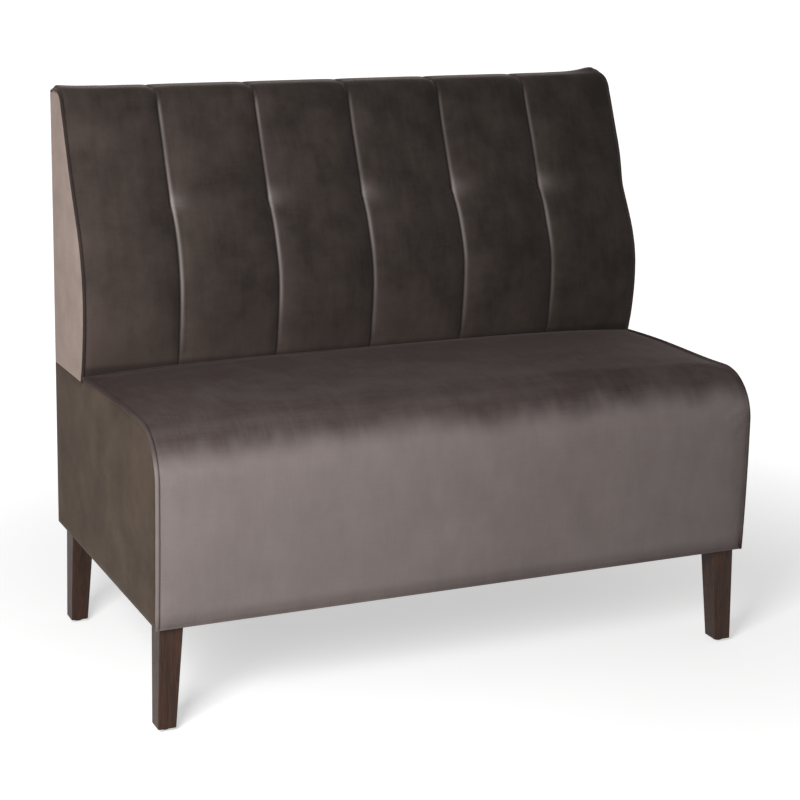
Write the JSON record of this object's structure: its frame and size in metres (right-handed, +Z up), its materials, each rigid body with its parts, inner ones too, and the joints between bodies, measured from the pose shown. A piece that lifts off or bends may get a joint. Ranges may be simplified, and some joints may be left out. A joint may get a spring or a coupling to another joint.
{
  "type": "cafe banquette",
  "caption": "Upholstered banquette for a cafe: sprung box seat with a rounded front, tall quilted back with drawn-in seams, velvet covers with piping, on tapered wooden legs.",
  "frame": {"origin": "on the floor, in the middle of the footprint", "axes": "+X along the width to the sitter's left, seen from the front it runs to the viewer's right; the front faces -Y; +Z up"},
  "size_m": [1.1, 0.61, 0.985],
  "materials": {
    "back_velvet": "short-pile velvet quilted on wadding, mink brown",
    "black_lining": "black non-woven lining",
    "foam": "polyurethane foam",
    "glide_plastic": "moulded, dark",
    "hessian": "woven hessian",
    "leg_wood": "dark walnut stain, satin lacquer",
    "panel_velvet": "short-pile velvet, mink brown",
    "pine": "sawn pine",
    "piping_velvet": "self-fabric piping",
    "plywood": "birch plywood",
    "seat_velvet": "short-pile velvet on wadding, mink brown, brushed nap",
    "toggle_plastic": "moulded toggle",
    "tuft_twine": "waxed twine",
    "webbing": "elastic webbing",
    "zinc_steel": "zinc plated"
  },
  "bodies": {
    "root": {"back_bottom_rail": "plywood", "back_fixing_bolts": "zinc_steel", "back_fixing_nuts": "zinc_steel", "back_fixing_washers": "zinc_steel", "back_foam": "foam", "back_front_cover": "back_velvet", "back_inner_ribs": "plywood", "back_left_cover": "panel_velvet", "back_left_piping": "piping_velvet", "back_left_rib": "plywood", "back_rear_cover": "panel_velvet", "back_right_cover": "panel_velvet", "back_right_piping": "piping_velvet", "back_right_rib": "plywood", "back_skin": "plywood", "back_top_rail": "pine", "base_cross_rails": "pine", "base_front_rail": "pine", "base_left_rail": "pine", "base_rear_rail": "pine", "base_right_rail": "pine", "dust_cover": "black_lining", "front_left_leg": "leg_wood", "front_right_leg": "leg_wood", "leg_bolts": "zinc_steel", "leg_glides": "glide_plastic", "leg_inserts": "zinc_steel", "rear_left_leg": "leg_wood", "rear_right_leg": "leg_wood", "seat_corner_blocks": "pine", "seat_cover": "seat_velvet", "seat_cross_boards": "pine", "seat_cross_webbing": "webbing", "seat_deck": "plywood", "seat_deck_rail": "plywood", "seat_foam": "foam", "seat_front_board": "pine", "seat_front_foam": "foam", "seat_hessian": "hessian", "seat_left_board": "plywood", "seat_left_cover": "panel_velvet", "seat_left_piping": "piping_velvet", "seat_long_webbing": "webbing", "seat_rear_board": "pine", "seat_rear_cover": "panel_velvet", "seat_right_board": "plywood", "seat_right_cover": "panel_velvet", "seat_right_piping": "piping_velvet", "seat_web_batten": "pine", "tuft_ties": "tuft_twine", "tuft_toggles": "toggle_plastic"}
  },
  "joints": []
}
